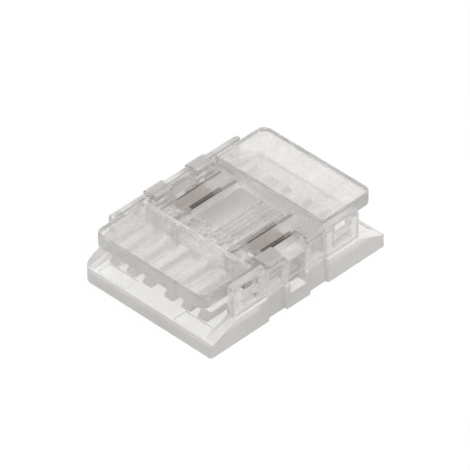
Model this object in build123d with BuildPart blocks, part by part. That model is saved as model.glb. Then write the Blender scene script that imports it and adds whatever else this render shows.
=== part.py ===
# Clear two-pole connector that joins two LED strips end to end without solder.
# Millimetres. X runs along the strips, Y across them and Z up, and the origin
# is on the underside, below the middle of the base. The two press lids stand
# raised in their upper latch windows, ready for the strips to be pushed in.
from build123d import *
import os

os.makedirs("parts", exist_ok=True)

# Base plate
base_length = 20.6
base_width = 15.0
floor_thickness = 1.3
far_corner_radius = 1.1
near_corner_radius = 0.25
rim_height = 2.45
end_land = 0.35
end_edge = 0.2

# Side walls
side_thickness = 1.05
wall_height = 5.4
wall_recess = 0.25
wall_round = 0.6

# Grooved columns behind the latches of the centre cover
column_setback = 0.4
column_width = 2.13
column_recess = 0.3
column_drop = 0.3

# Latch windows for the lids, one above the other
lid_window_setback = 0.45
lid_window_length = 2.0
lid_window_end_wall = 0.84
wall_cap = 0.2
window_skin = 0.32

# Windows for the latches of the centre cover, and the one between them
cover_window_length = 1.5
cover_window_height = 1.6
column_cap = 0.3
middle_window_length = 1.9
middle_window_height = 3.2
middle_window_rise = 0.2

# Ribs that carry a strip, each placed by its distance from the nearer side wall
near_rib_insets = (1.4, 3.3, 5.25)
far_rib_insets = (0.3, 2.2, 4.1)
rib_width = 1.05
rib_height = 0.8
rib_setback = 1.95
rib_lead = 0.5

# Fine steps that the mould inserts leave in the floor of each mouth
insert_depth = 0.1
insert_setback = 0.4
insert_length = 1.45
insert_inset = 0.46
insert_width = 3.2

# Deck under the centre cover, with a seat for each contact
deck_rise = 0.7
seat_rise = 0.65

# Contacts, bent from sheet metal
sheet = 0.3
contact_inset = 2.35
blade_pitch = 1.8
trough_length = 3.5
contact_drop = 0.35
bar_height = 0.35
end_cover = 0.3
end_width = 0.45
arm_length = 0.55
arm_height = 0.4
tooth_height = 0.4
tooth_base = 0.42
tooth_setback = 0.24
bend_radius = 0.2

# Centre cover over the contacts
cover_length = 7.8
cover_drop = 0.45
cover_end_wall = 0.55
cover_roof = 0.75
cover_round = 0.2
hollow_wall = 0.5
stiffener_places = (-1.75, -1.3, -0.85, -0.4, 0.05)
stiffener_width = 0.2
stiffener_drop = 0.3
leg_thickness = 0.45
leg_gap = 0.25
leg_drop = 0.55
cover_barb_lead = 0.6
pad_thickness = 0.45
pad_setback = 0.35
pad_depth = 1.5
pad_edge = 0.05

# Press lids
lid_setback = 0.25
lid_thickness = 1.4
lid_corner_radius = 0.9
lid_inner_radius = 0.3
lid_round = 0.25
lid_edge = 0.12
barb_height = 0.65
barb_lead = 0.4
strip_space = 0.52

# Clearances
cover_clearance = 0.08
pad_clearance = 0.1
lid_clearance = 0.15
barb_clearance = 0.08
blade_clearance = 0.1
seat_clearance = 0.02

# Heights that follow from the sizes above
rib_top = floor_thickness + rib_height
deck_height = floor_thickness + deck_rise
seat_height = deck_height + seat_rise
column_height = wall_height - column_drop
cover_bottom = deck_height + seat_clearance
cover_top = wall_height - cover_drop
cover_window_top = column_height - column_cap
cover_window_bottom = cover_window_top - cover_window_height
middle_window_bottom = floor_thickness + middle_window_rise
pad_bottom = column_height + pad_clearance
pad_top = pad_bottom + pad_thickness
trough_bottom = seat_height + seat_clearance
contact_top = cover_top - contact_drop
arm_top = rib_top
arm_bottom = arm_top - arm_height
arm_seat = arm_bottom - seat_clearance
lid_window_top = wall_height - wall_cap
lid_window_height = barb_height + 2 * barb_clearance
barb_top = lid_window_top - barb_clearance
lid_top = barb_top + (lid_thickness - barb_height) / 2
lid_bottom = lid_top - lid_thickness
lid_travel = lid_bottom - rib_top - strip_space
lid_window_bottom = lid_window_top - lid_travel - lid_window_height

# Places along the strips
cover_end = cover_length / 2
column_x = cover_end - column_setback - column_width / 2
lid_inner_x = cover_end + lid_clearance
lid_length = base_length / 2 - lid_setback - lid_inner_x
lid_window_x = lid_inner_x + lid_window_setback + lid_window_length / 2
wall_end = lid_window_x + lid_window_length / 2 + lid_window_end_wall
rib_start = base_length / 2 - rib_setback
insert_x = base_length / 2 - insert_setback - insert_length / 2
contact_end = cover_end - end_cover
arm_reach = cover_end + arm_length

# Places and widths across them
channel_width = base_width - 2 * side_thickness
channel_half = channel_width / 2
wall_face = base_width / 2 - wall_recess
column_face = base_width / 2 - column_recess
near_ribs = [-channel_half + inset + rib_width / 2 for inset in near_rib_insets]
far_ribs = [channel_half - inset - rib_width / 2 for inset in far_rib_insets]
insert_y = channel_half - insert_inset - insert_width / 2
contact_y = channel_half - contact_inset
blade_places = (contact_y - blade_pitch / 2, contact_y + blade_pitch / 2)
groove_width = sheet + 2 * blade_clearance
trough_width = blade_pitch + sheet
cover_width = channel_width - 2 * cover_clearance
cover_half = cover_width / 2
middle_hollow = 2 * (blade_places[0] - groove_width / 2 - hollow_wall)
leg_width = column_width - 2 * leg_gap
pad_length = column_width - 2 * pad_clearance
pad_face = base_width / 2 - pad_setback
pad_inner = pad_face - pad_depth
lid_width = channel_width - 2 * lid_clearance
barb_face = wall_face - window_skin - lid_clearance


with BuildPart() as base:
    # Plate with its two round corners on the far side
    with BuildSketch() as outline:
        Rectangle(base_length, base_width)
        fillet(outline.vertices().group_by(Axis.Y)[-1], far_corner_radius)
        fillet(outline.vertices().group_by(Axis.Y)[0], near_corner_radius)
    extrude(amount=rim_height)
    # Ramps down to the two ends, whose upper edges are broken
    with BuildSketch(Plane.XZ):
        with BuildLine():
            Polyline(
                (wall_end, rim_height),
                (base_length / 2 - end_land, floor_thickness),
                (base_length / 2 - end_edge, floor_thickness),
                (base_length / 2, floor_thickness - end_edge),
                (base_length, floor_thickness - end_edge),
                (base_length, 2 * rim_height),
                (wall_end, 2 * rim_height),
                close=True,
            )
        make_face()
        mirror(about=Plane.YZ)
    extrude(amount=base_width, both=True, mode=Mode.SUBTRACT)
    # Channel between the rims, open at both ends
    with BuildSketch(Plane.XY.offset(floor_thickness)):
        Rectangle(2 * base_length, channel_width)
    extrude(amount=rim_height, mode=Mode.SUBTRACT)
    # Side walls, rounded along their outer top edges
    with BuildSketch(Plane.XY.offset(floor_thickness)):
        Rectangle(2 * wall_end, 2 * wall_face)
        Rectangle(2 * wall_end, channel_width, mode=Mode.SUBTRACT)
    extrude(amount=wall_height - floor_thickness)
    wall_tops = base.edges().filter_by(Axis.X).group_by(Axis.Z)[-1].sort_by(Axis.Y)
    fillet([wall_tops[0], wall_tops[-1]], wall_round)
    # Grooved columns for the latches of the cover, lower than the walls
    with BuildSketch():
        for side in (-1, 1):
            with Locations((column_x, side * (column_face + base_width / 2))):
                Rectangle(column_width, base_width)
        mirror(about=Plane.YZ)
    extrude(amount=wall_height, mode=Mode.SUBTRACT)
    with BuildSketch(Plane.XY.offset(column_height)):
        with Locations((column_x, 0)):
            Rectangle(column_width, base_width)
        mirror(about=Plane.YZ)
    extrude(amount=wall_height, mode=Mode.SUBTRACT)
    # Deck under the centre cover, with a seat for each contact trough
    with BuildSketch(Plane.XY.offset(floor_thickness)):
        Rectangle(cover_length, channel_width)
    extrude(amount=deck_rise)
    with BuildSketch(Plane.XY.offset(deck_height)):
        with Locations((0, contact_y), (0, -contact_y)):
            Rectangle(trough_length - 2 * blade_clearance, trough_width)
    extrude(amount=seat_rise)
    # Ribs with sloping ends
    for rib_y in near_ribs + far_ribs:
        with BuildSketch(Plane.XZ.offset(-rib_y)):
            with BuildLine():
                Polyline(
                    (cover_end, floor_thickness),
                    (rib_start, floor_thickness),
                    (rib_start - rib_lead, rib_top),
                    (cover_end, rib_top),
                    close=True,
                )
            make_face()
            mirror(about=Plane.YZ)
        extrude(amount=rib_width / 2, both=True)
    # Slots that let the contact ends and their arms down into the deck and ribs
    with BuildSketch(Plane.XY.offset(arm_seat)):
        for blade_y in blade_places:
            for side in (-1, 1):
                with Locations((0, side * blade_y)):
                    Rectangle(2 * (arm_reach + blade_clearance), groove_width)
        Rectangle(2 * (contact_end - end_width - blade_clearance), channel_width, mode=Mode.SUBTRACT)
    extrude(amount=rib_top - arm_seat, mode=Mode.SUBTRACT)
    # Seats under the arms where no rib lies below them
    with BuildSketch(Plane.XY.offset(floor_thickness)):
        for blade_y in blade_places:
            for side in (-1, 1):
                with Locations((0, side * blade_y)):
                    Rectangle(2 * arm_reach, groove_width)
    extrude(amount=arm_seat - floor_thickness)
    # Two latch windows, open to the outside through a thin skin with a bar across it
    for side in (-1, 1):
        with BuildSketch(Plane.XZ.offset(-side * channel_half)):
            with Locations((lid_window_x, (lid_window_bottom + lid_window_top) / 2)):
                Rectangle(lid_window_length, lid_window_top - lid_window_bottom)
            mirror(about=Plane.YZ)
        extrude(amount=-side * (wall_face - channel_half - window_skin), mode=Mode.SUBTRACT)
        with BuildSketch(Plane.XZ.offset(-side * channel_half)):
            for window_top in (lid_window_top, lid_window_top - lid_travel):
                with Locations((lid_window_x, window_top - lid_window_height / 2)):
                    Rectangle(lid_window_length, lid_window_height)
            with Locations((column_x, cover_window_top - cover_window_height / 2)):
                Rectangle(cover_window_length, cover_window_height)
            mirror(about=Plane.YZ)
            with Locations((0, middle_window_bottom + middle_window_height / 2)):
                Rectangle(middle_window_length, middle_window_height)
        extrude(amount=-side * base_width, mode=Mode.SUBTRACT)
    # Insert steps in the floor of each mouth
    with BuildSketch(Plane.XY.offset(floor_thickness - insert_depth)):
        for side in (-1, 1):
            with Locations((insert_x, side * insert_y)):
                Rectangle(insert_length, insert_width)
        mirror(about=Plane.YZ)
    extrude(amount=insert_depth, mode=Mode.SUBTRACT)
base.part.label = "base"
export_step(base.part, "parts/base.step")


with BuildPart() as contact:
    # Trough with bent lower corners, made about its own middle line
    with BuildSketch(Plane.YZ) as trough:
        with Locations((0, (trough_bottom + contact_top) / 2)):
            Rectangle(trough_width, contact_top - trough_bottom)
        fillet(trough.vertices().group_by(Axis.Y)[0], bend_radius + sheet)
        with BuildSketch(mode=Mode.SUBTRACT) as hollow:
            with Locations((0, trough_bottom + sheet + contact_top / 2)):
                Rectangle(trough_width - 2 * sheet, contact_top)
            fillet(hollow.vertices().group_by(Axis.Y)[0], bend_radius)
    extrude(amount=trough_length / 2, both=True)
    # Bars that bridge from each blade to an end, and down to a low arm with a tooth
    for side in (-1, 1):
        with BuildSketch(Plane.XZ.offset(-side * blade_pitch / 2)):
            with BuildLine():
                Polyline(
                    (trough_length / 2, contact_top),
                    (contact_end, contact_top),
                    (contact_end, arm_top),
                    (arm_reach, arm_top),
                    (arm_reach, arm_bottom),
                    (contact_end - end_width, arm_bottom),
                    (contact_end - end_width, contact_top - bar_height),
                    (trough_length / 2, contact_top - bar_height),
                    close=True,
                )
            make_face()
            with BuildLine():
                Polyline(
                    (arm_reach - tooth_setback - tooth_base / 2, arm_top),
                    (arm_reach - tooth_setback, arm_top + tooth_height),
                    (arm_reach - tooth_setback + tooth_base / 2, arm_top),
                    close=True,
                )
            make_face()
            mirror(about=Plane.YZ)
        extrude(amount=sheet / 2, both=True)


with BuildPart() as near_contact:
    with Locations((0, -contact_y, 0)):
        add(contact.part)
near_contact.part.label = "near_contact"
export_step(near_contact.part, "parts/near_contact.step")


with BuildPart() as far_contact:
    with Locations((0, contact_y, 0)):
        add(contact.part)
far_contact.part.label = "far_contact"
export_step(far_contact.part, "parts/far_contact.step")


with BuildPart() as centre_cover:
    # Block between the walls, rounded along its two upper end edges
    with BuildSketch(Plane.XY.offset(cover_bottom)):
        Rectangle(cover_length, cover_width)
    extrude(amount=cover_top - cover_bottom)
    fillet(centre_cover.edges().filter_by(Axis.Y).group_by(Axis.Z)[-1], cover_round)
    # Middle hollow, stiffened under the near half of its roof
    with BuildSketch(Plane.XY.offset(cover_bottom)):
        Rectangle(cover_length - 2 * cover_end_wall, middle_hollow)
    extrude(amount=cover_top - cover_roof - cover_bottom, mode=Mode.SUBTRACT)
    with BuildSketch(Plane.XY.offset(cover_top - cover_roof - stiffener_drop)):
        for stiffener_y in stiffener_places:
            with Locations((0, stiffener_y)):
                Rectangle(cover_length - cover_end_wall, stiffener_width)
    extrude(amount=stiffener_drop)
    # Pockets for the contact seats and troughs
    with BuildSketch(Plane.XY.offset(cover_bottom)):
        with Locations((0, contact_y), (0, -contact_y)):
            Rectangle(trough_length + 2 * blade_clearance, trough_width + 2 * blade_clearance)
    extrude(amount=trough_bottom + sheet + blade_clearance - cover_bottom, mode=Mode.SUBTRACT)
    # Grooves for the blades, which come out through the roof over the troughs
    for side in (-1, 1):
        for blade_y in blade_places:
            with BuildSketch(Plane.XY.offset(cover_bottom)):
                with Locations((0, side * blade_y)):
                    Rectangle(cover_length, groove_width)
            extrude(amount=contact_top + blade_clearance - cover_bottom, mode=Mode.SUBTRACT)
            with BuildSketch(Plane.XY.offset(cover_bottom)):
                with Locations((0, side * blade_y)):
                    Rectangle(trough_length + 2 * blade_clearance, groove_width)
            extrude(amount=cover_top - cover_bottom, mode=Mode.SUBTRACT)
    # Springy legs, cut free at their sides and behind
    with BuildSketch(Plane.XY.offset(cover_bottom)):
        for side in (-1, 1):
            with Locations((column_x, side * (cover_half - (leg_thickness + leg_gap) / 2))):
                Rectangle(leg_width + 2 * leg_gap, leg_thickness + leg_gap)
            with Locations((column_x, side * (cover_half - leg_thickness / 2))):
                Rectangle(leg_width, leg_thickness, mode=Mode.SUBTRACT)
        mirror(about=Plane.YZ)
    extrude(amount=cover_top - leg_drop - cover_bottom, mode=Mode.SUBTRACT)
    # Barbs on the legs, flat on top and sloping below
    for end in (-1, 1):
        with BuildSketch(Plane.YZ.offset(end * column_x)):
            with BuildLine():
                Polyline(
                    (cover_half - leg_thickness, cover_window_bottom + cover_clearance),
                    (cover_half, cover_window_bottom + cover_clearance),
                    (column_face - cover_clearance, cover_window_bottom + cover_barb_lead),
                    (column_face - cover_clearance, cover_window_top - cover_clearance),
                    (cover_half - leg_thickness, cover_window_top - cover_clearance),
                    close=True,
                )
            make_face()
            mirror(about=Plane.YZ)
        extrude(amount=cover_window_length / 2 - cover_clearance, both=True)
    # Pads that reach out over the grooved columns, their outer edges rounded
    with BuildSketch(Plane.XY.offset(cover_top)):
        for side in (-1, 1):
            with Locations((column_x, side * (pad_inner + cover_half) / 2)):
                Rectangle(pad_length, cover_half - pad_inner)
        mirror(about=Plane.YZ)
    extrude(amount=pad_top - cover_top)
    with BuildSketch(Plane.XY.offset(pad_bottom)):
        for side in (-1, 1):
            with Locations((column_x, side * (pad_face - pad_depth / 2))):
                Rectangle(pad_length, pad_depth)
        mirror(about=Plane.YZ)
    extrude(amount=pad_thickness)
    pad_edges = centre_cover.edges().filter_by(Axis.X).group_by(Axis.Z)[-1].sort_by(Axis.Y)
    fillet(pad_edges[:2] + pad_edges[-2:], pad_thickness - pad_edge)
centre_cover.part.label = "centre_cover"
export_step(centre_cover.part, "parts/centre_cover.step")


with BuildPart() as front_lid:
    # Plate with round outer corners, rounded above and its lower edges broken
    with BuildSketch(Plane.XY.offset(lid_bottom)) as lid_outline:
        with Locations((-lid_inner_x - lid_length / 2, 0)):
            Rectangle(lid_length, lid_width)
        fillet(lid_outline.vertices().group_by(Axis.X)[0], lid_corner_radius)
        fillet(lid_outline.vertices().group_by(Axis.X)[-1], lid_inner_radius)
    extrude(amount=lid_thickness)
    fillet(front_lid.faces().sort_by(Axis.Z)[-1].edges(), lid_round)
    chamfer(front_lid.faces().sort_by(Axis.Z)[0].edges(), lid_edge)
    # Barbs along both sides, flat on top and sloping below
    with BuildSketch(Plane.YZ.offset(-lid_window_x)):
        with BuildLine():
            Polyline(
                (lid_width / 2 - barb_height, barb_top - barb_height),
                (lid_width / 2, barb_top - barb_height),
                (barb_face, barb_top - barb_height + barb_lead),
                (barb_face, barb_top),
                (lid_width / 2 - barb_height, barb_top),
                close=True,
            )
        make_face()
        mirror(about=Plane.YZ)
    extrude(amount=lid_window_length / 2 - barb_clearance, both=True)
front_lid.part.label = "front_lid"
export_step(front_lid.part, "parts/front_lid.step")


with BuildPart() as back_lid:
    add(mirror(front_lid.part, about=Plane.YZ, mode=Mode.PRIVATE))
back_lid.part.label = "back_lid"
export_step(back_lid.part, "parts/back_lid.step")
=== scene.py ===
# Clear solderless connector for two LED strips, dressed for its picture.
from math import radians

import bpy
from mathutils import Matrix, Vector

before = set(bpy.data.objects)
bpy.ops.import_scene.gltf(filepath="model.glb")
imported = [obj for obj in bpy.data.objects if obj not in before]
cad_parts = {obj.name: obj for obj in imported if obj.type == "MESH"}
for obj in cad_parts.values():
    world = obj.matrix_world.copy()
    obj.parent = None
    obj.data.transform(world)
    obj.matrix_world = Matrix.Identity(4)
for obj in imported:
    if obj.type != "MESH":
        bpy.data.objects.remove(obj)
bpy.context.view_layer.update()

MM = 0.001
WHITE = (1.0, 1.0, 1.0, 1.0)

# Camera, fitted to the outline of the base in the photo
CAMERA_AZIMUTH = radians(-45.6)
CAMERA_ELEVATION = radians(39.0)
CAMERA_TARGET = Vector((1.06, 0.894, 1.707)) * MM
CAMERA_DISTANCE = 559.7 * MM
CAMERA_LENS = 517.0
CAMERA_SENSOR = 36.0
CAMERA_CLIP_START = 0.01

# Soft square lamps: place and width in metres, power in watts
LAMPS = {
    "key_lamp": ((-0.35, -0.1, 0.4), 0.5, 1.5),
    "fill_lamp": ((0.15, -0.45, 0.25), 0.7, 1.5),
}
AMBIENT = (0.7, 0.7, 0.7, 1.0)
LIGHT_BOUNCES = 32

# Pale floor, just under the part
FLOOR_COLOUR = (0.92, 0.92, 0.915, 1.0)
FLOOR_ROUGHNESS = 0.8
FLOOR_GLOW = 0.9
FLOOR_GAP = 0.05 * MM
FLOOR_WIDTH = 3.0

# Clear moulded plastic
PLASTIC_IOR = 1.58
PLASTIC_HAZE = (0.5, 0.47, 0.44, 1.0)
PLASTIC_DEPTH = 5.0
LAMP_TINT = (0.975, 0.97, 0.96, 1.0)
RELIEF_DEPTH = 0.01 * MM

# Grain and flow lines in the plastic, the flow drawn out along the strips
GRAIN_SCALE = 3400.0
FLOW_SCALE = 420.0
FLOW_STRETCH = (0.25, 1.0, 1.0)
MOTTLE_SHARE = 0.5
MOTTLE_LOW, MOTTLE_HIGH = 0.35, 0.65

# Upward share of the normal where a face starts to count as a side, and where it is one
SIDE_START, SIDE_FULL = 0.97, 0.75

# Heights over which the tone, and the roughness of sides, change from the plate to the walls
TONE_RISE_START, TONE_RISE_END = 1.8 * MM, 4.5 * MM
ROUGH_RISE_START, ROUGH_RISE_END = 2.2 * MM, 2.8 * MM

# Dark specks in the tone of the front zone
SPECK_SCALE = 2400.0
SPECK_LOW, SPECK_HIGH = 0.4, 0.55
SPECK_SHADE = (0.66, 0.64, 0.62, 1.0)
FRONT_ZONE_START, FRONT_ZONE_FULL = -1.7 * MM, -2.3 * MM

# Inputs of the moulded surface, with the values of a plain finish
SURFACE_INPUTS = {
    "Tone Low": WHITE,
    "Tone High": WHITE,
    # painted shade on the sides; white paints none
    "Painted Side Shade": WHITE,
    "Upper Tone": WHITE,
    "Specks": 0.0,
    "Roughness Low": 0.03,
    "Roughness High": 0.12,
    "Side Roughness": 0.45,
    "Upper Side Roughness": 0.45,
    "Etched Beyond": 0.0,
    "Matt Below": 0.0,
    "Matt Above": 1.0,
    "Matt Roughness": 0.3,
}

# Each clear piece: the share that is clear rather than milky, the strength of the relief,
# and the inputs of its surface that aren't plain
BASE_CLEAR, BASE_RELIEF = 0.75, 0.3
BASE_SURFACE = {
    "Tone Low": (0.93, 0.915, 0.9, 1.0),
    # painted shade on the sides of the base, darker than its top
    "Painted Side Shade": (0.905, 0.89, 0.875, 1.0),
    "Upper Tone": (0.94, 0.94, 0.94, 1.0),
    "Roughness High": 0.08,
    "Side Roughness": 0.4,
    "Upper Side Roughness": 0.15,
    "Matt Below": 0.2 * MM,
    "Matt Above": 2.6 * MM,
    "Matt Roughness": 0.5,
}
COVER_CLEAR, COVER_RELIEF = 0.84, 0.06
COVER_SURFACE = {
    "Tone Low": (0.78, 0.76, 0.745, 1.0),
    "Tone High": (0.965, 0.95, 0.935, 1.0),
    "Upper Tone": (0.96, 0.96, 0.96, 1.0),
    "Specks": 1.0,
    "Roughness High": 0.1,
    "Side Roughness": 0.2,
    "Upper Side Roughness": 0.2,
    "Matt Below": 4.4 * MM,
    "Matt Above": 5.1 * MM,
    "Matt Roughness": 0.35,
}
LID_CLEAR, LID_RELIEF = 0.79, 0.2
LID_SURFACE = {
    "Tone Low": (0.74, 0.725, 0.71, 1.0),
    "Tone High": (0.98, 0.965, 0.95, 1.0),
    "Upper Tone": (0.95, 0.95, 0.95, 1.0),
    "Roughness High": 0.08,
    "Side Roughness": 0.5,
    "Upper Side Roughness": 0.5,
    "Etched Beyond": 4.3 * MM,
    "Matt Below": 4.2 * MM,
    "Matt Above": 9.0 * MM,
    "Matt Roughness": 0.12,
}

# Contact metal: stained in the middle, plated at the ends, with painted shade inside the troughs
# and darker brown on upper edges, both towards the top
METAL_DARK = (0.36, 0.26, 0.2, 1.0)
METAL_LIGHT = (0.52, 0.42, 0.36, 1.0)
PLATING = (0.86, 0.8, 0.75, 1.0)
# dark brown of the painted shade inside the troughs and of the upper edges
TROUGH_SHADE_AND_TOP_BROWN = (0.16, 0.085, 0.055, 1.0)
METAL_SHARE = 0.8
METAL_ROUGHNESS_LOW, METAL_ROUGHNESS_HIGH = 0.28, 0.5
METAL_RELIEF = 0.3
ROLLING_STRETCH = (0.1, 1.0, 1.0)
ROLLING_SCALE = 5200.0
STAIN_SCALE = 700.0
PLATING_START, PLATING_FULL = 1.7 * MM, 1.8 * MM
# heights over which the painted trough shade and the darker upper edges come in
TOP_DARKENING_START, TOP_DARKENING_FULL = 3.2 * MM, 4.4 * MM
EDGE_START, EDGE_FULL = 0.4, 0.6

# Middle line of each contact, and how far from it the inside of its trough reaches
CONTACT_LINE = 4.1 * MM
TROUGH_END, TROUGH_FULL = 0.95 * MM, 0.85 * MM


def set_or_link(tree, value, socket):
    """Links an output socket to an input, or sets the input to a plain value."""
    if isinstance(value, bpy.types.NodeSocket):
        tree.links.new(value, socket)
    else:
        socket.default_value = value


def add_node(tree, kind, **values):
    """Adds a node and fills its inputs by name, with _ for each space."""
    node = tree.nodes.new(kind)
    for name, value in values.items():
        set_or_link(tree, value, node.inputs[name.replace("_", " ")])
    return node


def add_math(tree, operation, *terms, clamp=False):
    node = tree.nodes.new("ShaderNodeMath")
    node.operation = operation
    node.use_clamp = clamp
    for term, socket in zip(terms, node.inputs):
        set_or_link(tree, term, socket)
    return node.outputs["Value"]


def add_range(tree, value, start, end, low=0.0, high=1.0):
    """Turns start to end into low to high, and stops at both."""
    node = add_node(tree, "ShaderNodeMapRange", Value=value, From_Min=start, From_Max=end,
                    To_Min=low, To_Max=high)
    return node.outputs["Result"]


def add_noise(tree, vector, **values):
    return add_node(tree, "ShaderNodeTexNoise", Vector=vector, **values).outputs["Fac"]


def add_mix(tree, share, first, second, kind="FLOAT", blend="MIX"):
    node = tree.nodes.new("ShaderNodeMix")
    node.data_type = kind
    node.blend_type = blend
    for name, value in (("Factor", share), ("A", first), ("B", second)):
        set_or_link(tree, value, node.inputs[name])
    return node.outputs["Result"]


def add_colour_mix(tree, share, first, second):
    return add_mix(tree, share, first, second, "RGBA")


def add_colour_product(tree, first, second):
    return add_mix(tree, 1.0, first, second, "RGBA", "MULTIPLY")


def add_parts(tree, vector):
    """Splits a vector into its three parts, read as outputs X, Y and Z."""
    return add_node(tree, "ShaderNodeSeparateXYZ", Vector=vector).outputs


def add_shader_mix(tree, share, first, second):
    mix = tree.nodes.new("ShaderNodeMixShader")
    for value, socket in zip((share, first, second), mix.inputs):
        tree.links.new(value, socket)
    return mix.outputs["Shader"]


def add_group_socket(group, way, name, colour):
    kind = "NodeSocketColor" if colour else "NodeSocketFloat"
    return group.interface.new_socket(name=name, in_out=way, socket_type=kind)


def make_moulded_surface_group():
    """Grain and flow lines of moulded plastic, and painted shade on its sides: its tone, roughness
    and height.
    """
    group = bpy.data.node_groups.new("moulded_surface", "ShaderNodeTree")
    for name, value in SURFACE_INPUTS.items():
        socket = add_group_socket(group, "INPUT", name, colour=isinstance(value, tuple))
        socket.default_value = value
    for name in ("Color", "Roughness", "Height"):
        add_group_socket(group, "OUTPUT", name, colour=name == "Color")
    given = group.nodes.new("NodeGroupInput").outputs
    result = group.nodes.new("NodeGroupOutput").inputs
    place = group.nodes.new("ShaderNodeTexCoord").outputs
    stretched = add_node(group, "ShaderNodeMapping", Vector=place["Object"], Scale=FLOW_STRETCH)
    flow = add_noise(group, stretched.outputs["Vector"], Scale=FLOW_SCALE, Detail=3.0,
                     Roughness=0.5, Distortion=0.6)
    grain = add_noise(group, place["Object"], Scale=GRAIN_SCALE, Detail=2.0, Roughness=0.6)
    at = add_parts(group, place["Object"])
    level = add_math(group, "ABSOLUTE", add_parts(group, place["Normal"])["Z"])
    sides = add_range(group, level, SIDE_START, SIDE_FULL)
    above = add_math(group, "GREATER_THAN", at["Z"], given["Matt Above"])

    # Tone: mottled, then darker up the walls, and painted shade on the sides
    flow_part = add_math(group, "MULTIPLY", flow, 1.0 - MOTTLE_SHARE)
    both = add_math(group, "MULTIPLY_ADD", grain, MOTTLE_SHARE, flow_part)
    mottle = add_range(group, both, MOTTLE_LOW, MOTTLE_HIGH)
    tone = add_colour_mix(group, mottle, given["Tone Low"], given["Tone High"])
    rise = add_range(group, at["Z"], TONE_RISE_START, TONE_RISE_END)
    tone = add_colour_product(group, tone, add_colour_mix(group, rise, WHITE, given["Upper Tone"]))
    # painted shade on faces that turn away from the top
    tone = add_colour_product(group, tone, add_colour_mix(group, sides, WHITE, given["Painted Side Shade"]))

    # Specks in the front zone, but not on the pads that stand above it
    specks = add_noise(group, place["Object"], Scale=SPECK_SCALE, Detail=1.0, Distortion=0.5)
    speck_share = add_range(group, specks, SPECK_LOW, SPECK_HIGH)
    speck_tone = add_colour_mix(group, speck_share, SPECK_SHADE, WHITE)
    front_zone = add_range(group, at["X"], FRONT_ZONE_START, FRONT_ZONE_FULL)
    below_pads = add_math(group, "SUBTRACT", front_zone, above)
    zone_share = add_math(group, "MULTIPLY", below_pads, given["Specks"], clamp=True)
    group.links.new(add_colour_mix(group, zone_share, tone, speck_tone), result["Color"])

    # Roughness: grained, matt below and above the given heights, etched on the outer sides
    rough = add_range(group, grain, 0.0, 1.0, given["Roughness Low"], given["Roughness High"])
    below = add_math(group, "LESS_THAN", at["Z"], given["Matt Below"])
    matt = add_math(group, "MAXIMUM", below, above)
    rough = add_mix(group, matt, rough, given["Matt Roughness"])
    over_plate = add_range(group, at["Z"], ROUGH_RISE_START, ROUGH_RISE_END)
    side_rough = add_mix(group, over_plate, given["Side Roughness"], given["Upper Side Roughness"])
    outward = add_math(group, "ABSOLUTE", at["X"])
    outer = add_math(group, "GREATER_THAN", outward, given["Etched Beyond"])
    outer_sides = add_math(group, "MULTIPLY", outer, sides)
    group.links.new(add_mix(group, outer_sides, rough, side_rough), result["Roughness"])

    group.links.new(add_math(group, "ADD", flow, grain), result["Height"])
    return group


def new_material(name):
    """Empty material: the material, its tree and the output's inputs."""
    material = bpy.data.materials.new(name)
    material.use_nodes = True
    tree = material.node_tree
    tree.nodes.clear()
    return material, tree, tree.nodes.new("ShaderNodeOutputMaterial").inputs


def make_clear_plastic(name, surface_group, clear, relief_strength, finish):
    """Clear plastic that lets lamp light through and darkens with depth."""
    material, tree, result = new_material(name)
    surface = tree.nodes.new("ShaderNodeGroup")
    surface.node_tree = surface_group
    for socket, value in finish.items():
        surface.inputs[socket].default_value = value
    relief = add_node(tree, "ShaderNodeBump", Strength=relief_strength, Distance=RELIEF_DEPTH,
                      Height=surface.outputs["Height"])
    body = add_node(tree, "ShaderNodeBsdfPrincipled", IOR=PLASTIC_IOR, Transmission_Weight=clear,
                    Base_Color=surface.outputs["Color"], Roughness=surface.outputs["Roughness"],
                    Normal=relief.outputs["Normal"])
    passing = add_node(tree, "ShaderNodeBsdfTransparent", Color=LAMP_TINT)
    lamp_ray = tree.nodes.new("ShaderNodeLightPath").outputs["Is Shadow Ray"]
    look = add_shader_mix(tree, lamp_ray, body.outputs["BSDF"], passing.outputs["BSDF"])
    tree.links.new(look, result["Surface"])
    depth = add_node(tree, "ShaderNodeVolumeAbsorption", Color=PLASTIC_HAZE, Density=PLASTIC_DEPTH)
    tree.links.new(depth.outputs["Volume"], result["Volume"])
    return material


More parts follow.
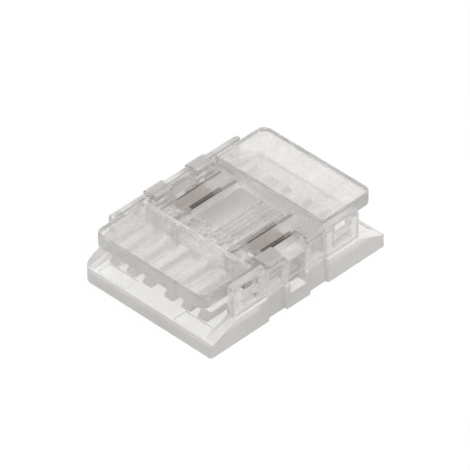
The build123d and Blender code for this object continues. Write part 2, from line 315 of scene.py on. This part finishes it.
def make_contact_metal():
    """Rolled metal, stained and plated, with painted brown shade in the troughs and darker brown
    on the top edges.
    """
    material, tree, result = new_material("contact_metal")
    place = tree.nodes.new("ShaderNodeTexCoord").outputs
    at = add_parts(tree, place["Object"])
    rolled = add_node(tree, "ShaderNodeMapping", Vector=place["Object"], Scale=ROLLING_STRETCH)
    lines = add_noise(tree, rolled.outputs["Vector"], Scale=ROLLING_SCALE, Detail=4.0,
                      Roughness=0.6)
    stain = add_noise(tree, place["Object"], Scale=STAIN_SCALE, Detail=2.0)
    colour = add_colour_mix(tree, stain, METAL_DARK, METAL_LIGHT)
    ends = add_range(tree, add_math(tree, "ABSOLUTE", at["X"]), PLATING_START, PLATING_FULL)
    colour = add_colour_mix(tree, ends, colour, PLATING)

    # Painted shade inside the troughs, and a darker brown on upper edges, both stronger towards
    # the top
    upper = add_range(tree, at["Z"], TOP_DARKENING_START, TOP_DARKENING_FULL)
    edge = add_range(tree, add_parts(tree, place["Normal"])["Z"], EDGE_START, EDGE_FULL)
    from_line = add_math(tree, "SUBTRACT", add_math(tree, "ABSOLUTE", at["Y"]), CONTACT_LINE)
    within = add_range(tree, add_math(tree, "ABSOLUTE", from_line), TROUGH_END, TROUGH_FULL)
    trough_shade_mask = add_math(tree, "MULTIPLY", add_math(tree, "SUBTRACT", 1.0, ends), within)
    trough_shade_and_dark_tops = add_math(tree, "MULTIPLY", add_math(tree, "MAXIMUM", trough_shade_mask, edge), upper)
    colour = add_colour_mix(tree, trough_shade_and_dark_tops, colour, TROUGH_SHADE_AND_TOP_BROWN)

    rough = add_range(tree, lines, 0.0, 1.0, METAL_ROUGHNESS_LOW, METAL_ROUGHNESS_HIGH)
    relief = add_node(tree, "ShaderNodeBump", Strength=METAL_RELIEF, Distance=RELIEF_DEPTH,
                      Height=lines)
    body = add_node(tree, "ShaderNodeBsdfPrincipled", Metallic=METAL_SHARE, Base_Color=colour,
                    Roughness=rough, Normal=relief.outputs["Normal"])
    tree.links.new(body.outputs["BSDF"], result["Surface"])
    return material


def add_sent_on_rays(tree):
    """The kinds of ray, and 1 for a ray that glass or gloss sends on, otherwise 0."""
    rays = tree.nodes.new("ShaderNodeLightPath").outputs
    return rays, add_math(tree, "MAXIMUM", rays["Is Glossy Ray"], rays["Is Transmission Ray"])


def make_floor():
    """Pale floor, white in the picture and through the plastic, with a soft shadow."""
    bpy.ops.mesh.primitive_plane_add(size=FLOOR_WIDTH, location=(0.0, 0.0, -FLOOR_GAP))
    floor = bpy.context.object
    floor.name = "floor"
    material, tree, result = new_material("pale_floor")
    matt = add_node(tree, "ShaderNodeBsdfPrincipled", Base_Color=FLOOR_COLOUR,
                    Roughness=FLOOR_ROUGHNESS)
    glow = add_node(tree, "ShaderNodeEmission", Color=WHITE, Strength=1.0)
    rays, sent_on = add_sent_on_rays(tree)
    seen = add_math(tree, "MULTIPLY", rays["Is Camera Ray"], FLOOR_GLOW)
    share = add_math(tree, "MAXIMUM", seen, sent_on)
    look = add_shader_mix(tree, share, matt.outputs["BSDF"], glow.outputs["Emission"])
    tree.links.new(look, result["Surface"])
    floor.data.materials.append(material)


def make_world():
    """White to the eye and through the plastic, and a plain level of light for the rest."""
    world = bpy.data.worlds.new("studio")
    bpy.context.scene.world = world
    world.use_nodes = True
    tree = world.node_tree
    tree.nodes.clear()
    result = tree.nodes.new("ShaderNodeOutputWorld").inputs
    rays, sent_on = add_sent_on_rays(tree)
    share = add_math(tree, "MAXIMUM", rays["Is Camera Ray"], sent_on)
    plain = add_node(tree, "ShaderNodeBackground", Color=AMBIENT, Strength=1.0)
    bright = add_node(tree, "ShaderNodeBackground", Color=WHITE, Strength=1.0)
    look = add_shader_mix(tree, share, plain.outputs["Background"], bright.outputs["Background"])
    tree.links.new(look, result["Surface"])


def add_soft_lamp(name, place, width, power):
    """Square lamp that faces the middle of the part."""
    lamp = bpy.data.lights.new(name, "AREA")
    lamp.shape = "SQUARE"
    lamp.size = width
    lamp.energy = power
    holder = bpy.data.objects.new(name, lamp)
    bpy.context.scene.collection.objects.link(holder)
    holder.location = place
    holder.rotation_euler = (-Vector(place)).to_track_quat("-Z", "Y").to_euler()


def add_camera():
    camera = bpy.data.cameras.new("photo_camera")
    camera.sensor_width = CAMERA_SENSOR
    camera.lens = CAMERA_LENS
    camera.clip_start = CAMERA_CLIP_START
    holder = bpy.data.objects.new("photo_camera", camera)
    bpy.context.scene.collection.objects.link(holder)
    holder.rotation_euler = (radians(90.0) - CAMERA_ELEVATION, 0.0, CAMERA_AZIMUTH)
    back = holder.rotation_euler.to_matrix() @ Vector((0.0, 0.0, 1.0))
    holder.location = CAMERA_TARGET + back * CAMERA_DISTANCE
    bpy.context.scene.camera = holder


add_camera()
make_world()
make_floor()
for name, (place, width, power) in LAMPS.items():
    add_soft_lamp(name, place, width, power)

moulded = make_moulded_surface_group()
base_plastic = make_clear_plastic("base_plastic", moulded, BASE_CLEAR, BASE_RELIEF, BASE_SURFACE)
cover_plastic = make_clear_plastic("cover_plastic", moulded, COVER_CLEAR, COVER_RELIEF,
                                   COVER_SURFACE)
lid_plastic = make_clear_plastic("lid_plastic", moulded, LID_CLEAR, LID_RELIEF, LID_SURFACE)
contact_metal = make_contact_metal()

finishes = {
    "base": base_plastic,
    "centre_cover": cover_plastic,
    "front_lid": lid_plastic,
    "back_lid": lid_plastic,
    "near_contact": contact_metal,
    "far_contact": contact_metal,
}
for node, finish in finishes.items():
    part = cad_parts[node]
    part.data.materials.clear()
    part.data.materials.append(finish)

scene = bpy.context.scene
scene.view_settings.view_transform = "Standard"
scene.cycles.max_bounces = LIGHT_BOUNCES
scene.cycles.transmission_bounces = LIGHT_BOUNCES
scene.cycles.transparent_max_bounces = LIGHT_BOUNCES
scene.cycles.glossy_bounces = LIGHT_BOUNCES
scene.cycles.caustics_reflective = False
scene.cycles.caustics_refractive = True
scene.cycles.use_denoising = True
